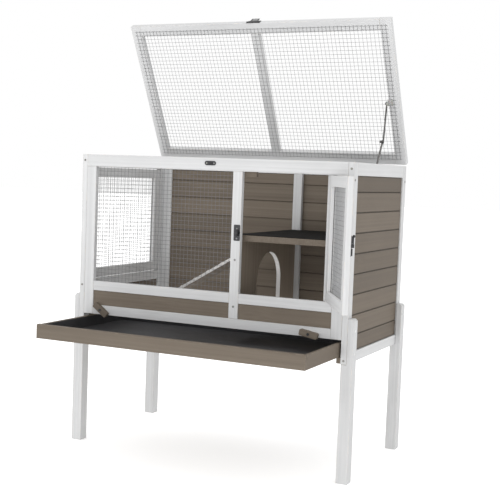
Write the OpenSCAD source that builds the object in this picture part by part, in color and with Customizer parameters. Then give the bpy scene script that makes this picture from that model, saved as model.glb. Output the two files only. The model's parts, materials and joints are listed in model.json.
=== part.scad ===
// Raised indoor rabbit hutch: a framed timber body on four legs, with a mesh lid
// held up by a folding stay, a mesh front door, a mesh side door, a pull-out tray,
// a shelf over a nest room with an arched doorway, and a hinged ramp.
// Axes: +X to the right seen from the front, +Y to the back, +Z up.
// Origin: on the floor, at the centre of the four feet. Millimetres.

/* [Body] */
// Width over the outer faces of the side panels
body_w = 900; // [800:10:1100]
// Depth from the front face to the back face
body_d = 484; // [460:2:560]
// Height of the top edge above the floor
body_top = 908; // [880:1:960]
// Height of the lower edge above the floor
body_base = 341; // [250:1:360]
// Thickness of the side panels
panel_t = 18; // [15:1:22]
// Thickness of the front and back frames
frame_t = 15; // [12:1:18]
// Width of the front corner stiles
stile_w = 33; // [28:1:40]
// Width of the side panels' stiles
side_stile_w = 30; // [26:1:46]
// Height of the top rails
top_rail_h = 37; // [30:1:42]
// Height of the middle rails
mid_rail_h = 29; // [26:1:36]
// Height of the bottom rails
bottom_rail_h = 30; // [26:1:34]
// Width of the front and back posts
post_w = 30; // [26:1:36]
// Distance of the posts' centre line to the right of the middle
post_x = 91; // [60:1:120]
// Depth of the front post
post_d = 15; // [15:1:32]

/* [Boards] */
// Height of one tongue-and-groove board
board_h = 58; // [50:1:70]
// Thickness of the boards
board_t = 9; // [8:1:11]
// Depth of the boards behind the frame's outer face
board_recess = 4; // [3:1:5]

/* [Legs] */
// Side of the square legs
leg_size = 34; // [30:1:40]
// How far a leg stands out beyond the side panel
leg_proud = 17; // [14:1:20]
// Height of the leg's upper part against the side panel
leg_lap = 129; // [90:1:140]

/* [Lid] */
// Thickness of the lid's bars
lid_t = 18; // [16:1:22]
// Width of the lid's outer bars
lid_bar_w = 36; // [30:1:42]
// Width of the lid's centre bar
lid_centre_w = 27; // [24:1:40]
// Angle at which the stay holds the lid open
lid_open = 61.5; // [55:0.5:66]

/* [Doors] */
// Width of the bars of both doors
door_bar_w = 30; // [24:1:34]
// Thickness of the doors
door_t = 15; // [12:1:15]
// Gap all round a closed door
door_gap = 3; // [2.6:0.1:4]
// Angle at which the front door stands open
door_open = 120; // [90:1:160]

/* [Tray] */
// Height of the tray's boards
tray_h = 42; // [36:1:43]
// Thickness of the tray's front board
tray_front_t = 15; // [12:1:18]
// Thickness of the tray's side boards
tray_side_t = 10; // [8:1:12]
// How far the tray stands out in front
tray_out = 250; // [0:1:420]

/* [Shelf and ramp] */
// Height of the shelf's top above the floor
shelf_top = 686; // [640:1:720]
// Thickness of the shelf
shelf_t = 18; // [15:1:20]
// Thickness of the divider under the shelf
divider_t = 14; // [12:1:16]
// Width of the arched doorway
arch_w = 180; // [140:1:190]
// Slope of the ramp below level
ramp_slope = 30.8; // [24:0.1:31]
// Length of the ramp board
ramp_len = 486; // [400:1:486]
// Width of the ramp board
ramp_w = 104; // [80:1:104]
// Number of cleats on the ramp
ramp_cleat_count = 9; // [5:1:11]

/* [Mesh] */
// Pitch of the welded mesh
mesh_pitch = 12.7; // [10:0.1:25.4]
// Thickness of the mesh wire
wire = 0.9; // [0.8:0.1:1]

/* [Hidden] */

white = [0.88, 0.88, 0.88];
taupe = [0.49, 0.46, 0.41];
black = [0.1, 0.1, 0.11];
steel = [0.62, 0.62, 0.64];

// Clearance between glued pieces, so that each stays a solid of its own
gap = 0.2;

half_w = body_w / 2;
half_d = body_d / 2;
inner_x = half_w - panel_t;
front_back_y = -half_d + frame_t;
back_front_y = half_d - frame_t;
rail_low = body_top - top_rail_h;
side_mid_top = body_base + 172;
side_mid_low = side_mid_top - mid_rail_h;
front_low_z = body_base + 68;
front_low_h = 29;
board_low = body_base + bottom_rail_h;
back_stile_w = 37;
stile_x = inner_x - stile_w;
post_l = post_x - post_w / 2;
post_r = post_x + post_w / 2;
post_back_y = -half_d + post_d;
back_post_t = 15;
back_board_y = half_d - board_recess - board_t;
back_post_y = back_front_y - gap - back_post_t;

// Hinges
knuckle_r = 2.6;
leaf_t = 0.8;
hinge_pin_r = 1.25;
pin_fit = 0.05;
hinge_clear = 0.3;

// Lid
lid_gap = 2.4;
lid_low = body_top + lid_gap;
lid_axis_y = half_d + 0.1 + knuckle_r;
lid_axis_z = body_top + lid_gap / 2;
lid_hinge_x = 300;
lid_hinge_len = 50;
lid_leaf_w = 14;

// Doors
door_low = side_mid_top + door_gap;
door_top = rail_low - door_gap;
door_h = door_top - door_low;
front_door_l = post_r + door_gap;
front_door_r = stile_x - door_gap;
front_door_w = front_door_r - front_door_l;
front_axis_x = stile_x - door_gap / 2;
front_axis_y = -half_d - knuckle_r;
side_half = half_d - side_stile_w - door_gap;
side_axis_y = half_d - side_stile_w - door_gap / 2;
side_axis_x = -half_w - knuckle_r;
door_hinge_len = 28;
door_leaf_w = 12;
door_hinge_z = [door_low + 14, door_top - 14 - door_hinge_len];
mesh_lap = 4.5;
mesh_groove_y = 3.4;
mesh_t = 2 * wire + 0.05;

// Barrel bolts
bolt_z = (door_low + door_top) / 2;
bolt_r = 2.8;
bolt_lift = 4.4;
bolt_plate_w = 28;
bolt_plate_h = 54;
bolt_plate_t = 1.2;
guide_w = 4;
bolt_travel = 12;
pad_inner = 6.5;
pad_h = 5;
handle_out = 5;
handle_len = 24;
handle_ball_r = 3.8;
keeper_h = 12.5;

// Hasp
hasp_t = 1.2;
hasp_w = 44;
hasp_axis_y = -half_d - 0.1 - knuckle_r;
hasp_axis_z = lid_low + 0.4;
hasp_strap_len = 27;
hasp_fold = 178;
staple_z = hasp_axis_z - 18.6;
staple_w = 37;

// Lid stay
stay_t = 1.8;
stay_w = 11.6;
stay_end_r = 6.2;
stay_lower_x = 407.6;
stay_upper_x = stay_lower_x + stay_t + 0.4;
stay_foot = [57, body_top - 23];
stay_reach = 218;
stay_drop = 8.5;
stay_lower_len = 111;
stay_upper_len = 119.6;
stay_pin_r = 2.5;
stay_head_closed = [lid_axis_y - stay_reach, lid_low - stay_drop];

// Tray
tray_low = body_base + 19;
tray_half_w = inner_x - 5;
tray_len = body_d - frame_t - 3;
tray_base_t = 4;
liner_t = 1.5;
runner_w = 13;

// Shelf, divider and ramp
shelf_l = post_l - 1;
shelf_front_y = -212;
mat_t = 1.5;
shelf_low = shelf_top - mat_t - gap - shelf_t;
divider_l = post_l + 1;
divider_low = tray_low + tray_h + 3;
arch_y = 8;
arch_spring = 533;
ramp_t = 9;
ramp_y = 36;
ramp_axis_x = shelf_l - 0.1 - knuckle_r;
ramp_axis_z = shelf_low - 2.5;
ramp_start = 7;
ramp_under = -1.7;
ramp_hinge_len = 26;
ramp_leaf_w = 14;

// Turn buttons
button_len = 56;
button_w = 18;
button_t = 13;
button_x = [-364, 336];
button_z = [front_low_z + 16, front_low_z + 9];
button_tilt = [36, 10];
button_screw_r = 2.05;

// Turns a closed lid's geometry into its open place.
module lid_pose() {
    translate([0, lid_axis_y, lid_axis_z])
        rotate([-lid_open, 0, 0])
            translate([0, -lid_axis_y, -lid_axis_z])
                children();
}

// Turns the closed front door's geometry into its open place.
module front_door_pose() {
    translate([front_axis_x, front_axis_y, 0])
        rotate([0, 0, door_open])
            translate([-front_axis_x, -front_axis_y, 0])
                children();
}

module tray_pose() {
    translate([0, -tray_out, 0]) children();
}

// Ramp frame: local X runs down the ramp from its hinge, local Z is its upward normal.
module ramp_pose() {
    translate([ramp_axis_x, ramp_y, ramp_axis_z])
        rotate([0, -ramp_slope, 0])
            mirror([1, 0, 0])
                children();
}

// A box between two corners, drawn in by the glue gap on the sides named in shrink.
module member(low, high, shrink = [0, 0, 0]) {
    translate(low + shrink * gap) cube(high - low - 2 * shrink * gap);
}

// Tongue-and-groove board profile: X is the thickness, Y is the height.
function board_profile(h, tongue = true) = let (
    c = 1.5, t = board_t, m = t / 2, tw = 1.2, gw = 1.6, td = 4, gd = 4.6
) concat(
    [[0, c], [c, 0], [m - gw, 0], [m - gw, gd], [m + gw, gd], [m + gw, 0], [t - c, 0], [t, c]],
    [[t, h - c], [t - c, h]],
    tongue ? [[m + tw, h], [m + tw, h + td], [m - tw, h + td], [m - tw, h]] : [],
    [[c, h], [0, h - c]]
);

// A wall of boards as long as len in X, its outer face at Y = 0 and its thickness towards +Y.
module board_wall(len, low, high, first_h) {
    count = ceil((high - low - first_h) / board_h) + 1;
    for (i = [0:count - 1]) {
        z0 = i == 0 ? low : low + first_h + (i - 1) * board_h;
        z1 = i == count - 1 ? high : low + first_h + i * board_h;
        translate([len / 2, 0, z0 + gap / 2])
            rotate([90, 0, -90])
                linear_extrude(len)
                    mirror([1, 0])
                        polygon(board_profile(z1 - z0 - gap, i < count - 1));
    }
}

// Wire mesh in the XY plane, centred: upright wires below, level wires above, one edge bar.
module mesh_sheet(w, h) {
    across = floor((w - 2 * wire) / mesh_pitch);
    up = floor((h - 2 * wire) / mesh_pitch);
    edge = 1.2 * wire;
    for (side = [-1, 1]) {
        translate([side * (w - edge) / 2, 0, mesh_t / 2]) cube([edge, h, mesh_t], center = true);
        translate([0, side * (h - edge) / 2, mesh_t / 2]) cube([w, edge, mesh_t], center = true);
    }
    for (i = [1:across - 1])
        translate([(i - across / 2) * mesh_pitch - wire / 2, -h / 2, 0])
            cube([wire, h, wire]);
    for (j = [1:up - 1])
        translate([-w / 2, (j - up / 2) * mesh_pitch - wire / 2, wire + 0.05])
            cube([w, wire, wire]);
}

// Half a butt hinge: knuckles on the Z axis at spans, and a leaf that runs along +Y.
module hinge_half(len, leaf_w, spans, off, t = leaf_t) {
    difference() {
        union() {
            for (s = spans) {
                translate([0, 0, s[0]]) cylinder(r = knuckle_r, h = s[1] - s[0], $fn = 32);
                translate([off - t / 2, 0, s[0]]) cube([t, knuckle_r + 1, s[1] - s[0]]);
            }
            translate([off - t / 2, knuckle_r + hinge_clear, 0]) cube([t, leaf_w, len]);
        }
        translate([0, 0, -1]) cylinder(r = hinge_pin_r + pin_fit, h = len + 2, $fn = 32);
    }
}

function outer_spans(len) = [[0, len / 3 - hinge_clear], [2 * len / 3 + hinge_clear, len]];
function inner_span(len) = [[len / 3, 2 * len / 3]];

module hinge_pin(len) {
    translate([0, 0, -0.8]) cylinder(r = hinge_pin_r, h = len + 1.6, $fn = 32);
}

module screw(r = 1.8, len = 28, head_r = 3.4) {
    // Along -Z into the wood, its head on the surface at Z = 0
    translate([0, 0, -len]) cylinder(r = r, h = len + 0.1, $fn = 24);
    translate([0, 0, 0.02]) cylinder(r = head_r, h = 0.7, $fn = 24);
    translate([0, 0, 0.7]) cylinder(r = head_r * 0.72, h = 0.6, $fn = 24);
}

// One leg: a square foot under the panel and a lap that stands outside it.
module leg(side, end) {
    x0 = half_w - panel_t + 1;
    x1 = half_w + leg_proud;
    y0 = half_d - leg_size;
    chamfer = 6;
    color(white)
        scale([side, end, 1])
            translate([0, half_d, 0])
                rotate([90, 0, 0])
                    linear_extrude(leg_size)
                        polygon([
                            [x0, 0], [x1, 0], [x1, body_base + leg_lap - chamfer],
                            [x1 - chamfer, body_base + leg_lap],
                            [half_w + gap, body_base + leg_lap],
                            [half_w + gap, body_base - gap], [x0, body_base - gap]
                        ]);
}

module leg_front_left() { leg(-1, -1); }
module leg_front_right() { leg(1, -1); }
module leg_rear_left() { leg(-1, 1); }
module leg_rear_right() { leg(1, 1); }

module leg_screws() {
    color(steel)
        for (side = [-1, 1], end = [-1, 1], z = [body_base + 30, body_base + 95])
            translate([side * (half_w + leg_proud), end * (half_d - leg_size / 2), z])
                rotate([0, side * 90, 0])
                    screw(len = leg_proud + 12);
}

// Both side panels share their stiles and rails; the left one has a rail under its door.
module side_frame(side, with_door) {
    color(white) mirror([side < 0 ? 1 : 0, 0, 0]) {
        for (end = [-1, 1])
            translate([0, end * (half_d - side_stile_w / 2), 0])
                member([inner_x, -side_stile_w / 2, body_base], [half_w, side_stile_w / 2, body_top]);
        rail_y = half_d - side_stile_w;
        member([inner_x, -rail_y, rail_low], [half_w, rail_y, body_top], [0, 1, 0]);
        member([inner_x, -rail_y, body_base], [half_w, rail_y, board_low], [0, 1, 0]);
        if (with_door)
            member([inner_x, -rail_y, side_mid_low], [half_w, rail_y, side_mid_top], [0, 1, 0]);
    }
}

module left_side_frame() { side_frame(-1, true); }
module right_side_frame() { side_frame(1, false); }

module left_side_boards() {
    first = (side_mid_low - board_low) / 2;
    color(taupe)
        translate([-half_w + board_recess, 0, 0])
            rotate([0, 0, -90])
                board_wall(body_d - 2 * side_stile_w - 2 * gap, board_low + gap, side_mid_low - gap, first);
}

module right_side_boards() {
    color(taupe)
        translate([half_w - board_recess, 0, 0])
            rotate([0, 0, 90])
                board_wall(body_d - 2 * side_stile_w - 2 * gap, board_low + gap, rail_low - gap, board_h - 11);
}

// Front frame: top rail, two stiles, lower rail and the middle rail either side of the post.
module front_frame() {
    color(white) {
        member([-inner_x, -half_d, rail_low], [inner_x, front_back_y, body_top], [1, 0, 0]);
        for (side = [-1, 1]) mirror([side < 0 ? 1 : 0, 0, 0])
            member([stile_x, -half_d, front_low_z], [inner_x - gap, front_back_y, rail_low - gap]);
        member([-stile_x, -half_d, front_low_z],
            [stile_x, front_back_y, front_low_z + front_low_h], [1, 0, 0]);
        member([-stile_x, -half_d, side_mid_low], [post_l, front_back_y, side_mid_top], [1, 0, 0]);
        member([post_r, -half_d, side_mid_low], [stile_x, front_back_y, side_mid_top], [1, 0, 0]);
    }
}

module front_mid_post() {
    color(white)
        member([post_l, -half_d, front_low_z + front_low_h], [post_r, post_back_y, rail_low], [0, 0, 1]);
}

module front_strip_boards() {
    z0 = front_low_z + front_low_h;
    color(taupe) {
        member([-stile_x, -half_d + 3, z0], [post_l, -half_d + 3 + board_t, side_mid_low], [1, 0, 1]);
        member([post_r, -half_d + 3, z0], [stile_x, -half_d + 3 + board_t, side_mid_low], [1, 0, 1]);
    }
}

module front_mesh() {
    x0 = -inner_x + 12;
    x1 = post_l + 14;
    z0 = side_mid_top - 14;
    z1 = rail_low + 14;
    color(steel)
        translate([(x0 + x1) / 2, front_back_y + 0.1 + mesh_t, (z0 + z1) / 2])
            rotate([90, 0, 0])
                mesh_sheet(x1 - x0, z1 - z0);
}

// Strip and block that the closed front door shuts against.
module door_stop_strip() {
    color(white)
        member([stile_x - 32, front_back_y + gap, side_mid_top - 20],
            [stile_x + 12, front_back_y + gap + 12, rail_low + 20]);
}

module door_stop_block() {
    x0 = post_r + gap;
    color(taupe)
        member([x0, front_back_y + gap, rail_low - 14],
            [x0 + 38, front_back_y + gap + 14, rail_low + 20]);
}

module back_frame() {
    x = inner_x - back_stile_w;
    color(white) {
        for (side = [-1, 1]) mirror([side < 0 ? 1 : 0, 0, 0])
            member([x, back_front_y, body_base], [inner_x - gap, half_d, body_top]);
        member([-x, back_front_y, rail_low], [x, half_d, body_top], [1, 0, 0]);
        member([-x, back_front_y, body_base], [x, half_d, board_low], [1, 0, 0]);
    }
}

module back_boards() {
    color(taupe)
        translate([0, half_d - board_recess, 0])
            rotate([0, 0, 180])
                board_wall(2 * (inner_x - back_stile_w) - 2 * gap, board_low + gap, rail_low - gap, board_h);
}

module back_mid_post() {
    color(white)
        member([post_l, back_post_y, board_low + 40],
            [post_r, back_post_y + back_post_t, body_top - 12]);
}

module frame_screws() {
    heights = [body_base + 10, side_mid_low + mid_rail_h / 2, body_top - top_rail_h / 2];
    color(steel) {
        for (side = [-1, 1], end = [-1, 1], z = heights)
            translate([side * (half_w - panel_t / 2), end * half_d, z])
                rotate([end * -90, 0, 0])
                    screw(len = 28);
        for (side = [-1, 1], end = [-1, 1])
            translate([side * half_w, end * (half_d - frame_t / 2), rail_low - 13])
                rotate([0, side * 90, 0])
                    screw(len = 26);
        for (z = [side_mid_low - 10, bolt_z - 80])
            translate([post_x, -half_d, z])
                rotate([90, 0, 0])
                    screw(len = 13);
    }
}

module tray_runners() {
    for (side = [-1, 1])
        color(taupe)
            mirror([side < 0 ? 1 : 0, 0, 0])
                member([inner_x - runner_w, -half_d + 1, body_base + 1],
                    [inner_x - gap, back_front_y - 1, tray_low - 0.3]);
}

// A sheet over the nest room, notched round the back post and drawn in by edge.
module shelf_sheet(edge, z0, t) {
    difference() {
        member([shelf_l + edge, shelf_front_y + edge, z0],
            [inner_x - gap - edge, back_front_y - gap - edge, z0 + t]);
        member([shelf_l - 1, back_post_y - gap - edge, z0 - 1],
            [post_r + gap + edge, half_d, z0 + t + 1]);
    }
}

module shelf_board() { color(taupe) shelf_sheet(0, shelf_low, shelf_t); }
module shelf_mat() { color(black) shelf_sheet(1, shelf_top - mat_t, mat_t); }

// Divider with an arched doorway that is open at the bottom.
module divider() {
    color(taupe)
        difference() {
            member([divider_l, post_back_y + mesh_t + 1, divider_low],
                [divider_l + divider_t, back_post_y - gap, shelf_low - gap]);
            translate([divider_l - 1, arch_y, arch_spring])
                rotate([0, 90, 0])
                    cylinder(d = arch_w, h = divider_t + 2, $fn = 64);
            translate([divider_l - 1, arch_y - arch_w / 2, divider_low - 1])
                cube([divider_t + 2, arch_w, arch_spring - divider_low + 1]);
        }
}

module ramp_board() {
    color(taupe)
        ramp_pose()
            translate([ramp_start, 0, ramp_under])
                cube([ramp_len, ramp_w, ramp_t]);
}

module ramp_cleats() {
    spacing = (ramp_len - 40) / (ramp_cleat_count - 1);
    color(taupe)
        ramp_pose()
            for (i = [0:ramp_cleat_count - 1])
                translate([ramp_start + 16 + i * spacing, 10, ramp_under + ramp_t + 0.1])
                    cube([9, ramp_w - 20, 3]);
}

ramp_hinge_y = [ramp_y + 12, ramp_y + ramp_w - 12 - ramp_hinge_len];

module ramp_hinge_shelf_leaves() {
    color(steel)
        for (y = ramp_hinge_y)
            translate([ramp_axis_x, y + ramp_hinge_len, ramp_axis_z])
                rotate([90, 0, 0]) {
                    hinge_half(ramp_hinge_len, ramp_leaf_w, outer_spans(ramp_hinge_len),
                        knuckle_r - leaf_t / 2);
                    hinge_pin(ramp_hinge_len);
                }
}

module ramp_hinge_ramp_leaves() {
    color(steel)
        for (y = ramp_hinge_y)
            translate([ramp_axis_x, y + ramp_hinge_len, ramp_axis_z])
                rotate([90, 0, 0])
                    rotate([0, 0, 90 + ramp_slope])
                        hinge_half(ramp_hinge_len, ramp_leaf_w + 6, inner_span(ramp_hinge_len),
                            leaf_t / 2 - knuckle_r);
}

// Lid frame, closed: front and back bars between two full-length side bars.
module lid_frame() {
    z1 = lid_low + lid_t;
    color(white)
        lid_pose() {
            for (side = [-1, 1]) mirror([side < 0 ? 1 : 0, 0, 0])
                member([half_w - lid_bar_w, -half_d, lid_low], [half_w, half_d, z1]);
            x = half_w - lid_bar_w;
            member([-x, -half_d, lid_low], [x, -half_d + lid_bar_w, z1], [1, 0, 0]);
            member([-x, half_d - lid_bar_w, lid_low], [x, half_d, z1], [1, 0, 0]);
        }
}

module lid_centre_bar() {
    y = half_d - lid_bar_w;
    color(white)
        lid_pose()
            member([-lid_centre_w / 2, -y, lid_low], [lid_centre_w / 2, y, lid_low + lid_t], [0, 1, 0]);
}

module lid_mesh() {
    color(steel)
        lid_pose()
            translate([0, 0, lid_low - 0.1])
                rotate([180, 0, 0])
                    mesh_sheet(body_w - 24, body_d - 34);
}

module lid_hinge_body_leaves() {
    color(steel)
        for (x = [-lid_hinge_x, lid_hinge_x])
            translate([x - lid_hinge_len / 2, lid_axis_y, lid_axis_z])
                rotate([-90, 0, 0])
                    rotate([0, 90, 0]) {
                        hinge_half(lid_hinge_len, lid_leaf_w + 6, outer_spans(lid_hinge_len),
                            knuckle_r - leaf_t / 2);
                        hinge_pin(lid_hinge_len);
                    }
}

module lid_hinge_lid_leaves() {
    color(steel)
        lid_pose()
            for (x = [-lid_hinge_x, lid_hinge_x])
                translate([x - lid_hinge_len / 2, lid_axis_y, lid_axis_z])
                    rotate([90, 0, 0])
                        rotate([0, 90, 0])
                            hinge_half(lid_hinge_len, lid_leaf_w, inner_span(lid_hinge_len),
                                leaf_t / 2 - knuckle_r);
}

// Hasp base on the lid's front edge, with the pin that carries the strap.
module hasp_base() {
    color(black)
        lid_pose()
            translate([-hasp_w / 2, hasp_axis_y, hasp_axis_z])
                rotate([90, 0, 0])
                    rotate([0, 90, 0]) {
                        hinge_half(hasp_w, 13, outer_spans(hasp_w), knuckle_r - hasp_t / 2, hasp_t);
                        hinge_pin(hasp_w);
                    }
}

// Strap with a slot for the staple. Angle 0 hangs over the front rail.
module hasp_strap() {
    w = 27;
    color(black)
        lid_pose()
            translate([0, hasp_axis_y, hasp_axis_z])
                rotate([-hasp_fold, 0, 0])
                    difference() {
                        union() {
                            translate([-hasp_w / 6, 0, 0])
                                rotate([-90, 0, 0])
                                    rotate([0, 90, 0])
                                        hinge_half(hasp_w / 3, 4, [[0, hasp_w / 3]], 0, hasp_t);
                            translate([-w / 2, -hasp_t / 2, -hasp_strap_len])
                                cube([w, hasp_t, hasp_strap_len - 5]);
                        }
                        translate([-9, -2, -21.6]) cube([18, 4, 6]);
                    }
}

// Staple on the front top rail: a plate and a half ring that the strap's slot clears.
module hasp_staple() {
    color(black)
        translate([0, -half_d - 0.1, staple_z]) {
            translate([0, 0, 0])
                rotate([90, 0, 0])
                    linear_extrude(hasp_t)
                        union() {
                            square([staple_w - 13, 13], center = true);
                            for (side = [-1, 1]) translate([side * (staple_w - 13) / 2, 0]) circle(r = 6.5, $fn = 48);
                        }
            translate([0, -hasp_t + 0.3, 0])
                rotate([0, 0, 180])
                    rotate_extrude(angle = 180, $fn = 48)
                        translate([7, 0]) circle(r = 1.3, $fn = 24);
        }
}

// Stay geometry in the YZ plane.
function turn2(p, c, a) = c + [
    (p[0] - c[0]) * cos(a) - (p[1] - c[1]) * sin(a),
    (p[0] - c[0]) * sin(a) + (p[1] - c[1]) * cos(a)
];
stay_head = turn2(stay_head_closed, [lid_axis_y, lid_axis_z], -lid_open);
function elbow(p, q, a, b, bend) = let (
    d = norm(q - p), along = (a * a - b * b + d * d) / (2 * d),
    side = sqrt(max(0, a * a - along * along)), u = (q - p) / d
) p + u * along + [u[1], -u[0]] * side * bend;
stay_elbow = elbow(stay_foot, stay_head, stay_lower_len, stay_upper_len, 1);
function direction(p, q) = atan2(q[1] - p[1], q[0] - p[0]);

// One flat link from the origin along +Y of the YZ plane, with round ends and holes at holes.
module stay_link(len, holes) {
    rotate([90, 0, 90])
        linear_extrude(stay_t)
            difference() {
                union() {
                    translate([0, -stay_w / 2]) square([len, stay_w]);
                    for (x = [0, len]) translate([x, 0]) circle(r = stay_end_r, $fn = 48);
                }
                for (x = holes) translate([x, 0]) circle(r = stay_pin_r + pin_fit, $fn = 32);
            }
}

// Rivet along +X from x0, a shank of len between two heads.
module rivet(x0, len, head_low, head_high) {
    translate([x0, 0, 0]) rotate([0, 90, 0]) {
        cylinder(r = stay_pin_r, h = len, $fn = 32);
        translate([0, 0, -head_low]) cylinder(r = stay_pin_r + 1.8, h = head_low, $fn = 32);
        translate([0, 0, len]) cylinder(r = stay_pin_r + 1.8, h = head_high, $fn = 32);
    }
}

// Bent bracket on the inner face of the right panel, with the foot pivot's rivet.
module stay_lower_bracket() {
    ear_x = stay_lower_x + stay_t + 0.4;
    y = stay_foot[0];
    z = stay_foot[1];
    color(steel) {
        difference() {
            union() {
                member([inner_x - 1.7, y - 14, z - 22], [inner_x - 0.1, y + 14, z + 16]);
                member([ear_x, y - 9, z - 15], [inner_x - 0.1, y + 9, z - 13.4]);
                member([ear_x, y - 9, z - 15], [ear_x + 1.6, y + 9, z + 6]);
            }
            translate([ear_x - 1, y, z]) rotate([0, 90, 0]) cylinder(r = stay_pin_r + pin_fit, h = 4, $fn = 32);
        }
        translate([0, y, z])
            rivet(stay_lower_x - 0.4, ear_x + 1.6 + 0.4 - stay_lower_x + 0.1, 1.5, 1.2);
    }
}

// Lower link with the elbow's rivet and its small knob.
module stay_lower_link() {
    color(steel)
        translate([0, stay_foot[0], stay_foot[1]])
            rotate([direction(stay_foot, stay_elbow), 0, 0]) {
                translate([stay_lower_x, 0, 0]) stay_link(stay_lower_len, [0]);
                translate([stay_lower_x, stay_lower_len, 0])
                    rotate([0, -90, 0]) {
                        translate([0, 0, -0.5]) cylinder(r = stay_pin_r, h = 2.5, $fn = 32);
                        translate([0, 0, 1.5]) cylinder(r = 4, h = 5.5, $fn = 32);
                    }
            }
}

module stay_upper_link() {
    color(steel)
        translate([0, stay_head[0], stay_head[1]])
            rotate([direction(stay_head, stay_elbow), 0, 0])
                translate([stay_upper_x, 0, 0])
                    stay_link(stay_upper_len, [0, stay_upper_len]);
}

// Angle bracket under the lid's right bar, with the head pivot's rivet.
module stay_upper_bracket() {
    ear_x = stay_upper_x + stay_t + 0.4;
    y = stay_head_closed[0];
    z = stay_head_closed[1];
    top = lid_low - mesh_t - 0.3;
    color(steel)
        lid_pose() {
            difference() {
                union() {
                    member([ear_x, y - 11, top - 1.6], [inner_x - 4, y + 11, top]);
                    member([ear_x, y - 6, z - 6], [ear_x + 1.6, y + 6, top]);
                }
                translate([ear_x - 1, y, z]) rotate([0, 90, 0]) cylinder(r = stay_pin_r + pin_fit, h = 4, $fn = 32);
            }
            translate([0, y, z])
                rivet(stay_upper_x - 0.4, ear_x + 1.6 + 0.4 - stay_upper_x + 0.1, 1.5, 1.2);
        }
}

// Groove round the inner edges of a door's bars, which holds its mesh.
module mesh_groove(w) {
    inset = door_bar_w - mesh_lap - 0.5;
    member([inset, mesh_groove_y, door_low + inset],
        [w - inset, mesh_groove_y + mesh_t + 0.4, door_top - inset]);
}

// A door's four bars in the XZ plane, its outer face on the front, in local X from 0 to w.
module door_bars(w) {
    for (x = [0, w - door_bar_w])
        difference() {
            member([x, 0, door_low], [x + door_bar_w, door_t, door_top]);
            mesh_groove(w);
        }
    for (z = [door_low, door_top - door_bar_w])
        difference() {
            member([door_bar_w, 0, z], [w - door_bar_w, door_t, z + door_bar_w], [1, 0, 0]);
            mesh_groove(w);
        }
}

module door_mesh_sheet(w) {
    inset = door_bar_w - mesh_lap;
    translate([w / 2, mesh_groove_y + 0.2 + mesh_t, (door_low + door_top) / 2])
        rotate([90, 0, 0])
            mesh_sheet(w - 2 * inset, door_h - 2 * inset);
}

module front_door_frame() {
    color(white) front_door_pose() translate([front_door_l, -half_d, 0]) door_bars(front_door_w);
}

module front_door_mesh() {
    color(steel) front_door_pose() translate([front_door_l, -half_d, 0]) door_mesh_sheet(front_door_w);
}

module front_jamb_leaves() {
    color(steel)
        for (z = door_hinge_z)
            translate([front_axis_x, front_axis_y, z]) {
                hinge_half(door_hinge_len, door_leaf_w, outer_spans(door_hinge_len), 1);
                hinge_pin(door_hinge_len);
            }
}

module front_door_leaves() {
    color(steel)
        front_door_pose()
            for (z = door_hinge_z)
                translate([front_axis_x, front_axis_y, z])
                    hinge_half(door_hinge_len, door_leaf_w, inner_span(door_hinge_len), -1);
}

// Left side door, closed: local X of the bars runs along world -Y.
module side_door_place() {
    translate([-half_w, side_half, 0]) rotate([0, 0, -90]) children();
}

module side_door_frame() { color(white) side_door_place() door_bars(2 * side_half); }
module side_door_mesh() { color(steel) side_door_place() door_mesh_sheet(2 * side_half); }

module side_jamb_leaves() {
    color(steel)
        for (z = door_hinge_z)
            translate([side_axis_x, side_axis_y, z])
                rotate([0, 0, -90]) {
                    hinge_half(door_hinge_len, door_leaf_w, outer_spans(door_hinge_len), -1);
                    hinge_pin(door_hinge_len);
                }
}

module side_door_leaves() {
    color(steel)
        for (z = door_hinge_z)
            translate([side_axis_x, side_axis_y, z])
                rotate([0, 0, -90])
                    hinge_half(door_hinge_len, door_leaf_w, inner_span(door_hinge_len), 1);
}

// Barrel bolt, on the plane Z = 0 with its free edge at X = 0; the bolt slides along +X.
module guide(x, w) {
    top = bolt_lift + bolt_r + 1.4;
    translate([x, 0, 0])
        difference() {
            translate([0, -bolt_r - 1.6, 0]) cube([w, 2 * bolt_r + 3.2, top]);
            translate([-1, 0, bolt_lift]) rotate([0, 90, 0]) cylinder(r = bolt_r + pin_fit, h = w + 2, $fn = 32);
        }
}

module rounded_plate(x0, x1, h) {
    r = 3;
    linear_extrude(bolt_plate_t)
        union() {
            translate([x0 + r, -h / 2]) square([x1 - x0 - 2 * r, h]);
            translate([x0, -h / 2 + r]) square([x1 - x0, h - 2 * r]);
            for (x = [x0 + r, x1 - r], y = [-h / 2 + r, h / 2 - r]) translate([x, y]) circle(r = r, $fn = 32);
        }
}

// Plate with a guide at each end of the bolt's run and a raised pad above and below it.
module bolt_plate() {
    pad_l = bolt_plate_h / 2 - pad_inner - 2;
    translate([0, 0, 0.1]) {
        rounded_plate(-bolt_plate_w - 1, -1, bolt_plate_h);
        guide(-bolt_plate_w, guide_w);
        guide(-2 - guide_w, guide_w);
        for (side = [-1, 1])
            translate([-bolt_plate_w + 2, side < 0 ? -pad_inner - pad_l : pad_inner, 0])
                cube([bolt_plate_w - 5, pad_l, pad_h]);
    }
}

// Rod with a handle that turns up along the plate and ends in a ball; up is the sign of local Y.
module bolt_rod(up) {
    stem_x = -bolt_plate_w + guide_w + 3.2;
    arm_z = bolt_lift + handle_out;
    translate([-bolt_plate_w - bolt_travel, 0, bolt_lift + 0.1])
        rotate([0, 90, 0])
            cylinder(r = bolt_r, h = bolt_plate_w + bolt_travel, $fn = 32);
    translate([stem_x, 0, bolt_lift + 0.1]) cylinder(r = 1.8, h = handle_out + 1.6, $fn = 32);
    translate([stem_x, 0, arm_z])
        rotate([-90 * up, 0, 0])
            cylinder(r = 1.6, h = handle_len, $fn = 32);
    translate([stem_x, up * handle_len, arm_z + 1]) sphere(r = handle_ball_r, $fn = 48);
}

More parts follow.
